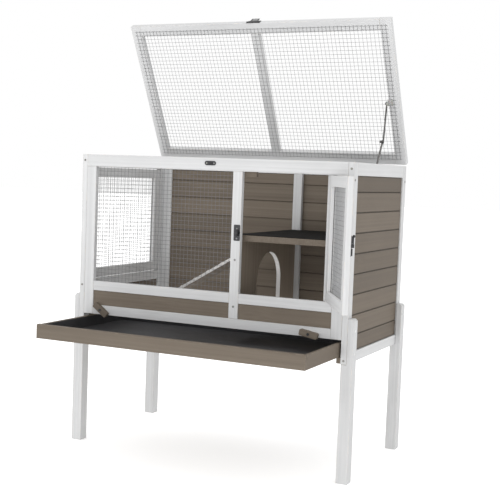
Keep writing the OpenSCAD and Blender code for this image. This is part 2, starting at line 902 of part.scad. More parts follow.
// Keeper on its own plate, with a tapered loop that takes the rod.
module bolt_keeper(x0, x1) {
    translate([0, 0, 0.1]) {
        rounded_plate(x0, x1, 47);
        difference() {
            translate([x0 + 3, 0, 0])
                rotate([90, 0, 90])
                    linear_extrude(7)
                        polygon([[-10, 0], [10, 0], [4.4, keeper_h], [-4.4, keeper_h]]);
            translate([x0 + 2, 0, bolt_lift])
                rotate([0, 90, 0])
                    cylinder(r = bolt_r + pin_fit, h = 9, $fn = 32);
        }
    }
}

module front_bolt_place() {
    translate([front_door_l, -half_d, bolt_z]) rotate([90, 0, 0]) rotate([0, 0, 180]) children();
}

module side_bolt_place() {
    translate([-half_w, -side_half, bolt_z]) rotate([0, 0, -90]) rotate([90, 0, 0]) children();
}

module front_bolt_plate() { color(black) front_door_pose() front_bolt_place() bolt_plate(); }
module front_bolt() { color(black) front_door_pose() front_bolt_place() bolt_rod(-1); }
module front_bolt_keeper() { color(black) front_bolt_place() bolt_keeper(door_gap + 1, door_gap + 21); }
module side_bolt_plate() { color(black) side_bolt_place() bolt_plate(); }
module side_bolt() { color(black) side_bolt_place() bolt_rod(1); }
module side_bolt_keeper() { color(black) side_bolt_place() bolt_keeper(door_gap + 1, door_gap + 21); }

module tray_front() {
    color(taupe)
        tray_pose()
            member([-tray_half_w, -half_d, tray_low], [tray_half_w, -half_d + tray_front_t, tray_low + tray_h]);
}

module tray_boards() {
    y0 = -half_d + tray_front_t + gap;
    y1 = -half_d + tray_len;
    z1 = tray_low + tray_h - 1.5;
    color(taupe)
        tray_pose() {
            for (side = [-1, 1]) mirror([side < 0 ? 1 : 0, 0, 0])
                member([tray_half_w - tray_side_t, y0, tray_low], [tray_half_w, y1, z1]);
            x = tray_half_w - tray_side_t - gap;
            member([-x, y1 - tray_side_t, tray_low], [x, y1, z1]);
        }
}

module tray_base() {
    x = tray_half_w - tray_side_t - gap;
    color(taupe)
        tray_pose()
            member([-x, -half_d + tray_front_t + gap, tray_low + 0.5],
                [x, -half_d + tray_len - tray_side_t - gap, tray_low + 0.5 + tray_base_t]);
}

// Open liner pan inside the tray's boards.
module tray_liner() {
    x = tray_half_w - tray_side_t - 0.5;
    y0 = -half_d + tray_front_t + 0.5;
    y1 = -half_d + tray_len - tray_side_t - 0.5;
    z0 = tray_low + 0.5 + tray_base_t + gap;
    color(black)
        tray_pose()
            difference() {
                member([-x, y0, z0], [x, y1, tray_low + tray_h - 2.5]);
                member([-x + liner_t, y0 + liner_t, z0 + liner_t], [x - liner_t, y1 - liner_t, tray_low + tray_h]);
            }
}

// Turn button on the front lower rail, turned by tilt from level.
module turn_button(x, z, tilt) {
    r = 4;
    color(taupe)
        translate([x, -half_d - 0.3, z])
            rotate([0, tilt, 0])
                rotate([90, 0, 0])
                    linear_extrude(button_t)
                        difference() {
                            union() {
                                square([button_len, button_w - 2 * r], center = true);
                                square([button_len - 2 * r, button_w], center = true);
                                for (a = [-1, 1], b = [-1, 1])
                                    translate([a * (button_len / 2 - r), b * (button_w / 2 - r)]) circle(r = r, $fn = 32);
                            }
                            circle(r = button_screw_r + pin_fit, $fn = 32);
                        }
}

module turn_button_left() { turn_button(button_x[0], button_z[0], button_tilt[0]); }
module turn_button_right() { turn_button(button_x[1], button_z[1], button_tilt[1]); }

module turn_button_screws() {
    color(steel)
        for (i = [0, 1])
            translate([button_x[i], -half_d - 0.3 - button_t, button_z[i]])
                rotate([90, 0, 0]) {
                    translate([0, 0, -button_t - 12]) cylinder(r = button_screw_r, h = button_t + 12.4, $fn = 32);
                    translate([0, 0, 0.3]) cylinder(r = 4, h = 1.6, $fn = 32);
                }
}

leg_front_left();
leg_front_right();
leg_rear_left();
leg_rear_right();
leg_screws();
left_side_frame();
left_side_boards();
right_side_frame();
right_side_boards();
front_frame();
front_mid_post();
front_strip_boards();
front_mesh();
door_stop_strip();
door_stop_block();
back_frame();
back_mid_post();
back_boards();
frame_screws();
tray_runners();
shelf_board();
shelf_mat();
divider();
ramp_board();
ramp_cleats();
ramp_hinge_shelf_leaves();
ramp_hinge_ramp_leaves();
lid_frame();
lid_centre_bar();
lid_mesh();
lid_hinge_body_leaves();
lid_hinge_lid_leaves();
hasp_base();
hasp_strap();
hasp_staple();
stay_lower_bracket();
stay_lower_link();
stay_upper_link();
stay_upper_bracket();
front_door_frame();
front_door_mesh();
front_jamb_leaves();
front_door_leaves();
front_bolt_plate();
front_bolt();
front_bolt_keeper();
side_door_frame();
side_door_mesh();
side_jamb_leaves();
side_door_leaves();
side_bolt_plate();
side_bolt();
side_bolt_keeper();
tray_front();
tray_boards();
tray_base();
tray_liner();
turn_button_left();
turn_button_right();
turn_button_screws();
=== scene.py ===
import json
import math
import random

import bmesh
import bpy
from mathutils import Matrix, Vector


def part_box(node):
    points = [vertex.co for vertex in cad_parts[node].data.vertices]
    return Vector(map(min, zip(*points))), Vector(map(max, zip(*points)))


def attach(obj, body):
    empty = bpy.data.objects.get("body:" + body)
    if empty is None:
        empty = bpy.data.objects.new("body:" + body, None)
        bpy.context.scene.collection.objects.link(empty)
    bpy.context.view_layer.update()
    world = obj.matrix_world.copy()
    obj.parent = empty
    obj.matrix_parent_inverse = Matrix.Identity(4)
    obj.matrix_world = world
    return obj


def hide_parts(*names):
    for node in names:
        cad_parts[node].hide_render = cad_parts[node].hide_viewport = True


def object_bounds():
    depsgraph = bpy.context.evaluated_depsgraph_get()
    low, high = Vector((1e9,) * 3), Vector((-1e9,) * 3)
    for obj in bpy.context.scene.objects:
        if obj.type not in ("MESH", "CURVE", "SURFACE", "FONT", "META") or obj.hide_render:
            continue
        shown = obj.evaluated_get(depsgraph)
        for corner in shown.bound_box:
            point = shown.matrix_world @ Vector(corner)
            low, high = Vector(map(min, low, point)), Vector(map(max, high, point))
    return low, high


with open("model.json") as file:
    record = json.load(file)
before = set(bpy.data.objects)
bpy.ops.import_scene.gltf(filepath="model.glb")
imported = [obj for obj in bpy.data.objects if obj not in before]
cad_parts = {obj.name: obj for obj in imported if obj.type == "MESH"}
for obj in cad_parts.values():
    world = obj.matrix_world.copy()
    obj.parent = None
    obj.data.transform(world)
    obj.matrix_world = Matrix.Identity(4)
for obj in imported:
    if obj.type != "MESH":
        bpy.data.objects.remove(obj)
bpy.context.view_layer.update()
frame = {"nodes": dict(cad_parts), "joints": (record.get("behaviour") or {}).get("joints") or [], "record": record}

rng = random.Random(41)
NODES = frame["nodes"]
BODY_OF = {node: body for body, nodes in frame["record"]["behaviour"]["bodies"].items() for node in nodes}
SLOT_OF = {part["node"]: part["material_slot"] for part in frame["record"]["subparts"]}
JOINTS = {joint["name"]: joint for joint in frame["joints"]}

# ---------------------------------------------------------------- camera
EYE = Vector((1.425, -2.973, 0.861))
FORWARD = Vector((-0.4249, 0.9025, -0.0716)).normalized()
UP_HINT = Vector((-0.0639, 0.0479, 0.9968))
SENSOR_MM = 36
LENS_MM = 74.95
CLIP_END = 60


def link(name, data):
    """A new object in the scene for a mesh, lamp or camera."""
    piece = bpy.data.objects.new(name, data)
    bpy.context.scene.collection.objects.link(piece)
    return piece


def add_camera():
    right = FORWARD.cross(UP_HINT).normalized()
    up = right.cross(FORWARD)
    data = bpy.data.cameras.new("camera")
    data.sensor_width = SENSOR_MM
    data.lens = LENS_MM
    data.clip_end = CLIP_END
    camera = link("camera", data)
    camera.matrix_world = Matrix((
        (right.x, up.x, -FORWARD.x, EYE.x),
        (right.y, up.y, -FORWARD.y, EYE.y),
        (right.z, up.z, -FORWARD.z, EYE.z),
        (0, 0, 0, 1),
    ))
    bpy.context.scene.camera = camera


add_camera()
bpy.context.scene.view_settings.view_transform = "Standard"


# ---------------------------------------------------------------- node helpers
class Tree:
    """A short way to write a material's nodes."""

    def __init__(self, name):
        self.m = bpy.data.materials.new(name)
        self.m.use_nodes = True
        self.t = self.m.node_tree
        self.t.nodes.clear()
        out = self.t.nodes.new("ShaderNodeOutputMaterial")
        self.bsdf = self.t.nodes.new("ShaderNodeBsdfPrincipled")
        self.t.links.new(self.bsdf.outputs[0], out.inputs[0])

    def put(self, socket, value):
        """Links a socket to another, or sets its constant."""
        if isinstance(value, bpy.types.NodeSocket):
            self.t.links.new(value, socket)
        else:
            socket.default_value = value

    def attr(self, name, output):
        n = self.t.nodes.new("ShaderNodeAttribute")
        n.attribute_name = name
        return n.outputs[output]

    def position(self):
        return self.t.nodes.new("ShaderNodeTexCoord").outputs["Object"]

    def scaled(self, vector, scale, offset=(0, 0, 0)):
        n = self.t.nodes.new("ShaderNodeMapping")
        self.put(n.inputs["Vector"], vector)
        n.inputs["Scale"].default_value = scale
        n.inputs["Location"].default_value = offset
        return n.outputs[0]

    def noise(self, vector, scale=1.0, detail=3.0, rough=0.55, distortion=0.0):
        n = self.t.nodes.new("ShaderNodeTexNoise")
        self.put(n.inputs["Vector"], vector)
        n.inputs["Scale"].default_value = scale
        n.inputs["Detail"].default_value = detail
        n.inputs["Roughness"].default_value = rough
        n.inputs["Distortion"].default_value = distortion
        return n.outputs["Fac"]

    def voronoi(self, vector, scale=1.0, output="Distance"):
        n = self.t.nodes.new("ShaderNodeTexVoronoi")
        self.put(n.inputs["Vector"], vector)
        n.inputs["Scale"].default_value = scale
        return n.outputs[output]

    def ramp(self, fac, *stops):
        """A ramp of grey levels, each stop a position and a level."""
        n = self.t.nodes.new("ShaderNodeValToRGB")
        self.put(n.inputs["Fac"], fac)
        ramp = n.color_ramp
        while len(ramp.elements) < len(stops):
            ramp.elements.new(0.5)
        for element, (position, level) in zip(ramp.elements, stops):
            element.position = position
            element.color = (level, level, level, 1)
        return n.outputs["Color"]

    def math(self, op, a, b):
        n = self.t.nodes.new("ShaderNodeMath")
        n.operation = op
        self.put(n.inputs[0], a)
        self.put(n.inputs[1], b)
        return n.outputs[0]

    def times(self, a, b):
        return self.math("MULTIPLY", a, b)

    def vector_math(self, op, a, b):
        n = self.t.nodes.new("ShaderNodeVectorMath")
        n.operation = op
        self.put(n.inputs[0], a)
        self.put(n.inputs[1], b)
        return n.outputs[0]

    def mix(self, fac, a, b, mode="MIX"):
        n = self.t.nodes.new("ShaderNodeMix")
        n.data_type = "RGBA"
        n.blend_type = mode
        self.put(n.inputs["Factor"], fac)
        for socket, colour in ((n.inputs[6], a), (n.inputs[7], b)):
            self.put(socket, colour if isinstance(colour, bpy.types.NodeSocket) else (*colour, 1))
        return n.outputs[2]

    def bump(self, height, distance, strength, normal=None):
        n = self.t.nodes.new("ShaderNodeBump")
        n.inputs["Strength"].default_value = strength
        n.inputs["Distance"].default_value = distance
        self.put(n.inputs["Height"], height)
        if normal is not None:
            self.put(n.inputs["Normal"], normal)
        return n.outputs["Normal"]


def shaded(colour, factor):
    return tuple(c * factor for c in colour)


# ---------------------------------------------------------------- materials
# Pattern scales are repeats per metre: along a member, across it and through it.
KNOT_SCALE = (3.2, 13.0, 9.0)
RING_SCALE = (0.9, 34.0, 26.0)
LINE_SCALE = (1.1, 210.0, 160.0)
FIBRE_SCALE = (26.0, 1100.0, 900.0)
PATCH_SCALE = (5.0, 9.0, 9.0)
KNOT_GATE_SCALE = (1.1, 2.3, 2.3)
CHIP_SCALE = (60.0, 260.0, 260.0)
KNOT_BEND = (0.0, 0.010, 0.006)
RING_SHARE, LINE_SHARE = 0.55, 0.45
# How strongly worn chips show, and how dark the painted shade in the grooves between boards is.
CHIP_STRENGTH, GROOVE_SHADE_STRENGTH = 0.7, 0.85


class Grain:
    """Softwood's patterns along the grain attribute: knots, growth rings, fine lines and fibres."""

    def __init__(self, k):
        self.along = k.attr("grain", "Vector")
        cell = k.voronoi(k.scaled(self.along, KNOT_SCALE))
        core = k.ramp(cell, (0.0, 1.0), (0.055, 0.75), (0.10, 0.0))
        gate = k.noise(k.scaled(self.along, KNOT_GATE_SCALE, (3.1, 1.7, 0.4)), detail=1.0)
        self.knots = k.times(core, k.ramp(gate, (0.52, 0.0), (0.60, 1.0)))
        # The rings bend round each knot.
        halo = k.ramp(cell, (0.0, 1.0), (0.28, 0.0))
        bent = k.vector_math("ADD", self.along, k.vector_math("MULTIPLY", halo, KNOT_BEND))
        rings = k.noise(k.scaled(bent, RING_SCALE), distortion=0.6)
        fine = k.noise(k.scaled(bent, LINE_SCALE), detail=2.0, rough=0.5, distortion=0.2)
        self.lines = k.ramp(fine, (0.25, 0.0), (0.75, 1.0))
        self.fibre = k.noise(k.scaled(self.along, FIBRE_SCALE), detail=2.0, rough=0.7)
        self.figure = k.math("ADD", k.times(rings, RING_SHARE), k.times(self.lines, LINE_SHARE))


def wood_colour(k, grain, light, dark, tone_span):
    """The grain between two tones, with fibres, blotches and each member's own shade."""
    colour = k.mix(k.ramp(grain.figure, (0.28, 0.0), (0.72, 1.0)), dark, light)
    fibres = k.ramp(grain.fibre, (0.25, 0.95), (0.6, 1.0), (0.8, 1.02))
    patch = k.noise(k.scaled(grain.along, PATCH_SCALE), rough=0.6)
    blotches = k.ramp(patch, (0.3, 0.96), (0.7, 1.02))
    shade = k.ramp(k.attr("tone", "Fac"), (0.0, 1.0 - tone_span), (1.0, 1.0 + tone_span * 0.4))
    for layer in (fibres, blotches, shade):
        colour = k.mix(1.0, colour, layer, "MULTIPLY")
    return colour


def wood(name, light, dark, knot, rough, fibre_depth, knot_share, tone_span, worn=None, groove_shade=None):
    """Painted or stained softwood. The grain attribute runs along each member in metres. The edge
    attribute marks the rounded edges, which are worn through in places, or carry painted shade where boards meet."""
    k = Tree(name)
    grain = Grain(k)
    colour = wood_colour(k, grain, light, dark, tone_span)
    colour = k.mix(k.times(grain.knots, knot_share), colour, knot)
    edge = k.attr("edge", "Fac")
    if worn is not None:
        chip = k.ramp(k.noise(k.scaled(grain.along, CHIP_SCALE), rough=0.7), (0.50, 0.0), (0.62, 1.0))
        colour = k.mix(k.times(k.times(edge, chip), CHIP_STRENGTH), colour, worn)
    # Painted shade: the rounded edge faces where boards meet are darkened, as the shade that falls in the grooves
    # between them.
    if groove_shade is not None:
        colour = k.mix(k.times(edge, GROOVE_SHADE_STRENGTH), colour, groove_shade)
    k.put(k.bsdf.inputs["Base Color"], colour)
    uneven = k.math("ADD", k.times(grain.figure, 0.6), k.times(grain.fibre, 0.4))
    k.put(k.bsdf.inputs["Roughness"], k.ramp(uneven, (0.3, rough[0]), (0.7, rough[1])))
    relief = k.math("ADD", k.times(grain.lines, 0.5), grain.fibre)
    fibres = k.bump(relief, fibre_depth, 0.7)
    k.put(k.bsdf.inputs["Normal"], k.bump(grain.knots, 0.0006, 0.35, fibres))
    k.bsdf.inputs["Specular IOR Level"].default_value = 0.22
    return k.m


def metal(name, colour, metallic, rough, dust, depth=0.00004):
    """Coated or drawn metal: fine pits with dust in them, and wide patches of shine."""
    k = Tree(name)
    place = k.position()
    pits = k.noise(place, 900.0, 3.0, 0.65)
    wide = k.noise(place, 60.0, 4.0, 0.6)
    lighter = tuple(min(1, c * 1.35 + 0.004) for c in colour)
    base = k.mix(k.ramp(wide, (0.35, 0.0), (0.7, 1.0)), colour, lighter)
    base = k.mix(k.times(k.ramp(pits, (0.62, 0.0), (0.8, 1.0)), 0.25), base, dust)
    k.put(k.bsdf.inputs["Base Color"], base)
    k.bsdf.inputs["Metallic"].default_value = metallic
    k.put(k.bsdf.inputs["Roughness"], k.ramp(wide, (0.3, rough - 0.12), (0.7, rough + 0.12)))
    k.put(k.bsdf.inputs["Normal"], k.bump(pits, depth, 0.6))
    return k.m


def zinc(name, colour, rough):
    """Zinc plate: small crystal patches with a slightly different shine each."""
    k = Tree(name)
    place = k.position()
    crystals = k.voronoi(place, 420.0, "Color")
    fine = k.noise(place, 1400.0, 3.0, 0.6)
    dull = k.ramp(k.noise(place, 45.0, 3.0), (0.45, 0.0), (0.85, 0.5))
    base = k.mix(dull, k.mix(0.14, colour, crystals, "OVERLAY"), (0.42, 0.40, 0.37))
    k.put(k.bsdf.inputs["Base Color"], base)
    k.bsdf.inputs["Metallic"].default_value = 0.9
    k.put(k.bsdf.inputs["Roughness"], k.ramp(fine, (0.3, rough - 0.1), (0.7, rough + 0.12)))
    k.put(k.bsdf.inputs["Normal"], k.bump(fine, 0.00003, 0.5))
    return k.m


def plastic(name, colour, rough, gloss):
    """Black moulded sheet with a pebbled skin and light scuffs."""
    k = Tree(name)
    place = k.position()
    pebble = k.voronoi(place, 700.0)
    streaks = k.noise(k.scaled(place, (6.0, 90.0, 40.0)), 1.0, 5.0, 0.7, 1.2)
    scuff = k.ramp(streaks, (0.58, 0.0), (0.75, 1.0))
    wide = k.noise(place, 7.0, 4.0, 0.6)
    base = k.mix(k.ramp(wide, (0.35, 0.0), (0.7, 1.0)), colour, shaded(colour, 1.5))
    base = k.mix(k.times(scuff, 0.22), base, (0.16, 0.16, 0.165))
    k.put(k.bsdf.inputs["Base Color"], base)
    k.put(k.bsdf.inputs["Roughness"], k.ramp(wide, (0.3, rough - 0.08), (0.7, rough + 0.1)))
    k.put(k.bsdf.inputs["Normal"], k.bump(pebble, 0.00012, 0.5))
    k.bsdf.inputs["Specular IOR Level"].default_value = gloss
    return k.m


STAIN = ((0.172, 0.143, 0.113), (0.128, 0.104, 0.081), (0.080, 0.062, 0.046))
STAIN_ROUGH = (0.55, 0.78)
STAIN_DEPTH = 0.00022


def stained(name, factor, knot_share, tone_span, groove_shade=None):
    """The boards' stain, lighter by factor as painted light or darker by factor as painted shade."""
    light, dark, knot = (shaded(tone, factor) for tone in STAIN)
    return wood(name, light, dark, knot, STAIN_ROUGH, STAIN_DEPTH, knot_share, tone_span, groove_shade=groove_shade)


WHITE = wood("white_paint", (0.600, 0.602, 0.605), (0.525, 0.527, 0.530), (0.46, 0.45, 0.43),
             rough=(0.48, 0.68), fibre_depth=0.00016, knot_share=0.35, tone_span=0.04,
             worn=(0.66, 0.61, 0.54))
TAUPE = wood("taupe_stain", (0.172, 0.143, 0.113), (0.134, 0.109, 0.085), (0.080, 0.062, 0.046),
             rough=STAIN_ROUGH, fibre_depth=STAIN_DEPTH, knot_share=0.55, tone_span=0.14,
             worn=(0.25, 0.21, 0.165))
# Copies of one stain: the side boards darker as painted shade, the back boards and the divider lighter as painted
# light.
BOARDS = stained("taupe_boards_painted_shade", 0.92, knot_share=0.55, tone_span=0.18, groove_shade=(0.028, 0.022, 0.017))
BACKING = stained("taupe_backing_painted_light", 1.06, knot_share=0.55, tone_span=0.14, groove_shade=(0.095, 0.077, 0.060))
INNER = stained("taupe_inner_painted_light", 1.8, knot_share=0.4, tone_span=0.1)
# The sawn edges' pale bare wood, lightened further as painted light where the edges lie in shadow.
RAW_LIGHTENED = wood("cut_edge_painted_light", (0.84, 0.82, 0.81), (0.68, 0.66, 0.64), (0.50, 0.42, 0.36),
           rough=(0.5, 0.75), fibre_depth=0.0002, knot_share=0.3, tone_span=0.06)
BLACK = metal("black_metal", (0.016, 0.016, 0.018), 0.0, 0.36, dust=(0.09, 0.09, 0.09))
ZINC = zinc("zinc_steel", (0.22, 0.215, 0.21), 0.38)
STAY = zinc("stay_links", (0.105, 0.100, 0.096), 0.42)
PALE_ZINC = zinc("pale_zinc", (0.55, 0.545, 0.54), 0.5)
WIRE = metal("mesh_wire", (0.150, 0.150, 0.153), 0.3, 0.5, dust=(0.3, 0.3, 0.3), depth=0.00002)
PAINTED = metal("painted_screw", (0.56, 0.56, 0.56), 0.0, 0.5, dust=(0.5, 0.5, 0.5))
LINER = plastic("black_plastic", (0.032, 0.032, 0.034), 0.55, gloss=0.45)
MAT = plastic("black_mat", (0.007, 0.0065, 0.006), 0.85, gloss=0.08)
TIMBER = {"white_paint": WHITE, "taupe_paint": TAUPE}
FITTING = {"black_metal": BLACK, "zinc_steel": ZINC, "black_plastic": LINER, "black_mat": MAT}

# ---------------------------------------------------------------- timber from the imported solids
JOIN_DISTANCE = 2e-6
FLAT_ANGLE = math.radians(0.6)
SHARP_ANGLE = math.radians(28)
UPRIGHT = 0.75          # the share of Z above which a member counts as standing
PATTERN_SPAN = 9.0      # how far apart two members' grain may start, in metres


def islands(bm):
    """The separate solids of a mesh, as lists of vertices."""
    seen, groups = set(), []
    for v in bm.verts:
        if v in seen:
            continue
        stack, group = [v], []
        seen.add(v)
        while stack:
            a = stack.pop()
            group.append(a)
            for e in a.link_edges:
                b = e.other_vert(a)
                if b not in seen:
                    seen.add(b)
                    stack.append(b)
        groups.append(group)
    return groups


def clean_copy(node):
    """A bmesh of a CAD node with its shared corners joined and its flat faces whole."""
    bm = bmesh.new()
    bm.from_mesh(NODES[node].data)
    bmesh.ops.remove_doubles(bm, verts=bm.verts, dist=JOIN_DISTANCE)
    bmesh.ops.dissolve_limit(bm, angle_limit=FLAT_ANGLE, verts=bm.verts, edges=bm.edges)
    return bm


def add_piece(name, bm, material, node, replaces=None):
    """A piece that rides with the node's body, in the given material."""
    mesh = bpy.data.meshes.new(name)
    bm.to_mesh(mesh)
    bm.free()
    mesh.materials.append(material)
    piece = link(name, mesh)
    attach(piece, BODY_OF[node])
    if replaces:
        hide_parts(replaces)
    return piece


def soften(bm, bevel):
    """Rounds the sharp edges, and marks the new faces in the edge attribute."""
    edge = bm.faces.layers.float.new("edge")
    for e in bm.edges:
        e.smooth = True
    sharp = [e for e in bm.edges if len(e.link_faces) == 2 and e.calc_face_angle(0) > SHARP_ANGLE]
    rounded = bmesh.ops.bevel(bm, geom=sharp, offset=bevel, offset_type="OFFSET", segments=2,
                              profile=0.6, affect="EDGES", clamp_overlap=True)
    for f in rounded["faces"]:
        f[edge] = 1.0


def grain_axes(group, along):
    """Three axes for a member: along its longest edge or the given way, and two across it."""
    best, length = Vector((1, 0, 0)), 0
    for v in group:
        for e in v.link_edges:
            if e.calc_length() > length:
                length = e.calc_length()
                best = (e.verts[1].co - e.verts[0].co).normalized()
    if along is not None:
        best = Vector(along).normalized()
    side = Vector((0, 0, 1)) if abs(best.z) < UPRIGHT else Vector((1, 0, 0))
    second = best.cross(side).normalized()
    return best, second, best.cross(second).normalized()


def timber(node, material, bevel, along=None, cut=None):
    """The node's solids again, with softened edges, and wood grain that runs along each one.
    Faces for which cut(centre, normal) is true show the bare wood of a sawn edge, lightened as painted light."""
    bm = clean_copy(node)
    grain = bm.verts.layers.float_vector.new("grain")
    tone = bm.verts.layers.float.new("tone")
    soften(bm, bevel)
    for group in islands(bm):
        axes = grain_axes(group, along)
        shift = Vector([rng.uniform(0, PATTERN_SPAN) for _ in axes])
        shade = rng.random()
        for v in group:
            v[grain] = Vector([v.co.dot(axis) for axis in axes]) + shift
            v[tone] = shade
    bm.normal_update()
    for f in bm.faces:
        f.smooth = True
        if cut is not None and cut(f.calc_center_median(), f.normal):
            f.material_index = 1
    piece = add_piece(node + "_wood", bm, material, node, replaces=node)
    if cut is not None:
        piece.data.materials.append(RAW_LIGHTENED)
    normals = piece.modifiers.new("normals", "WEIGHTED_NORMAL")
    normals.keep_sharp = True


def arch_face(centre, normal):
    """The sawn faces round the divider's arched doorway."""
    margin = 0.02
    lo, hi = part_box("divider")
    inside = lo.y + margin < centre.y < hi.y - margin and centre.z < hi.z - margin
    return abs(normal.x) < 0.4 and inside and abs(normal.z) < 0.999


def ramp_edge(centre, normal):
    """The sawn long edges of the ramp and its cleats."""
    return abs(normal.y) > 0.5


EDGE_R, BUTTON_R, BOARD_R, BACKING_R, DIVIDER_R = 0.0012, 0.0015, 0.0022, 0.0010, 0.0011
SPECIAL_TIMBER = {
    "left_side_boards": dict(material=BOARDS, bevel=BOARD_R),
    "right_side_boards": dict(material=BOARDS, bevel=BOARD_R),
    "back_boards": dict(material=BACKING, bevel=BACKING_R),
    "divider": dict(material=INNER, bevel=DIVIDER_R, along=(0, 0, 1), cut=arch_face),
    "ramp_board": dict(cut=ramp_edge),
    "ramp_cleats": dict(cut=ramp_edge),
    "turn_button_left": dict(bevel=BUTTON_R),
    "turn_button_right": dict(bevel=BUTTON_R),
}
for node, slot in SLOT_OF.items():
    if slot in TIMBER:
        timber(node, **{"material": TIMBER[slot], "bevel": EDGE_R, **SPECIAL_TIMBER.get(node, {})})

# ---------------------------------------------------------------- welded mesh
WIRE_PITCH = 0.0127
WIRE_SIDES = 6
WIRE_SHARE = 0.98       # of half a CAD layer's depth
WAVE_SIDE = 0.00022     # how far a wire wanders along the sheet
WAVE_DEPTH = 0.00010    # and towards the other layer
END_GAP = 0.0002
BEAD_REACH = (1.25, 1.6)
BEAD_DEPTH = 1.4


def turning(joint, degrees):
    """The matrix that turns by degrees about a joint's axis at rest."""
    axis = JOINTS[joint]
    pivot = Vector(axis["pos_m"])
    turn = Matrix.Rotation(math.radians(degrees), 4, Vector(axis["axis"]))
    return Matrix.Translation(pivot) @ turn @ Matrix.Translation(-pivot)


def shut_box(node, to_shut):
    """A node's lowest and highest corners once it is turned shut, square to the axes."""
    corners = [to_shut @ v.co for v in NODES[node].data.vertices]
    return (Vector([min(c[i] for c in corners) for i in range(3)]),
            Vector([max(c[i] for c in corners) for i in range(3)]))


def point(axes, values):
    v = [0.0, 0.0, 0.0]
    for axis, value in zip(axes, values):
        v[axis] = value
    return v


def add_wire(verts, faces, axes, path, r):
    """A round wire through the path's points, with both ends closed."""
    turns = [2 * math.pi * j / WIRE_SIDES for j in range(WIRE_SIDES)]
    base = len(verts)
    for stop, side, level in path:
        verts += [point(axes, (stop, side + math.cos(t) * r, level + math.sin(t) * r)) for t in turns]
    for i in range(len(path) - 1):
        for j in range(WIRE_SIDES):
            p, q = (base + i * WIRE_SIDES + s % WIRE_SIDES for s in (j, j + 1))
            faces.append((p, q, q + WIRE_SIDES, p + WIRE_SIDES))
    end = len(verts) - WIRE_SIDES
    faces.append(tuple(range(base, base + WIRE_SIDES)))
    faces.append(tuple(reversed(range(end, end + WIRE_SIDES))))


def add_bead(verts, faces, axes, centre, reach, depth):
    """An eight-sided bead of weld, wide along the sheet and less deep through it."""
    base = len(verts)
    for axis, out in zip(axes, (reach, reach, depth)):
        for sign in (-1, 1):
            v = point(axes, centre)
            v[axis] += sign * out
            verts.append(v)
    faces += [(base + a, base + b, base + c) for a in (0, 1) for b in (2, 3) for c in (4, 5)]


def netting(node, to_shut):
    """The sheet's wires again, round and slightly wavy, with a weld bead at each crossing, in the
    same two layers. They are laid out with the sheet shut and then turned back to rest."""
    lo, hi = shut_box(node, to_shut)
    size, mid = hi - lo, (lo + hi) / 2
    thin = min(range(3), key=lambda i: size[i])
    first, second = [i for i in range(3) if i != thin]
    r = size[thin] / 4 * WIRE_SHARE
    level = {first: lo[thin] + r, second: hi[thin] - r}
    marks = {}
    for axis in (first, second):
        count = int((size[axis] - 2 * r) / WIRE_PITCH)
        marks[axis] = [mid[axis] + (i - count / 2) * WIRE_PITCH for i in range(count + 1)]
    verts, faces = [], []
    for run, across in ((first, second), (second, first)):
        inward = 1 if level[run] < mid[thin] else -1
        between = [m + WIRE_PITCH / 2 for m in marks[run][:-1]]
        stops = [lo[run] + END_GAP] + between + [hi[run] - END_GAP]
        for place in marks[across]:
            path = []
            for i, stop in enumerate(stops):
                free = 0 if i in (0, len(stops) - 1) else 1
                wave, sink = rng.uniform(-1, 1) * WAVE_SIDE * free, rng.uniform(0, 1) * WAVE_DEPTH * free
                path.append((stop, place + wave, level[run] + sink * inward))
            add_wire(verts, faces, (run, across, thin), path, r)
    for u in marks[first]:
        for w in marks[second]:
            reach = r * rng.uniform(*BEAD_REACH)
            add_bead(verts, faces, (first, second, thin), (u, w, mid[thin]), reach, r * BEAD_DEPTH)
    draft = bpy.data.meshes.new(node + "_draft")
    draft.from_pydata(verts, [], faces)
    bm = bmesh.new()
    bm.from_mesh(draft)
    bpy.data.meshes.remove(draft)
    bmesh.ops.recalc_face_normals(bm, faces=bm.faces)
    for f in bm.faces:
        f.smooth = len(f.verts) != 3
    bm.transform(to_shut.inverted())
    add_piece(node + "_wires", bm, WIRE, node, replaces=node)


netting("front_mesh", Matrix.Identity(4))
netting("side_door_mesh", Matrix.Identity(4))
netting("front_door_mesh", turning("front_door_hinge", JOINTS["front_door_hinge"]["range_deg"][0]))
netting("lid_mesh", turning("lid_hinge", JOINTS["lid_hinge"]["range_deg"][1]))

# ---------------------------------------------------------------- metal and plastic nodes
SPECIAL_FITTING = {"leg_screws": PAINTED, "stay_lower_link": STAY, "stay_upper_link": STAY,
                   "stay_upper_bracket": PALE_ZINC, "turn_button_screws": BLACK}
SHEET_EDGE_R, METAL_EDGE_R = 0.0008, 0.00025


def finish_fitting(node, slot):
    """A better material, and edges that catch the light."""
    piece = NODES[node]
    piece.data.materials.clear()
    piece.data.materials.append(SPECIAL_FITTING.get(node, FITTING[slot]))
    weld = piece.modifiers.new("weld", "WELD")
    weld.merge_threshold = JOIN_DISTANCE
    edges = piece.modifiers.new("edges", "BEVEL")
    edges.width = SHEET_EDGE_R if slot == "black_plastic" else METAL_EDGE_R
    edges.segments = 2
    edges.limit_method = "ANGLE"
    edges.angle_limit = math.radians(35)


for node, slot in SLOT_OF.items():
    if slot in FITTING:
        finish_fitting(node, slot)

# ---------------------------------------------------------------- small fixings
ALONG_X, ALONG_Y = 0, 1
HEAD_R, HEAD_SUNK, HEAD_SIDES = 0.0026, 0.0003, 16
HEAD_H, FLUSH_HEAD_H = 0.0009, 0.0004
RECESS_RING, RECESS_PINCH = 3, 0.62
CAP_SIDES = 20
CAP_SHARES = (0.0, 0.35, 0.7, 0.93)


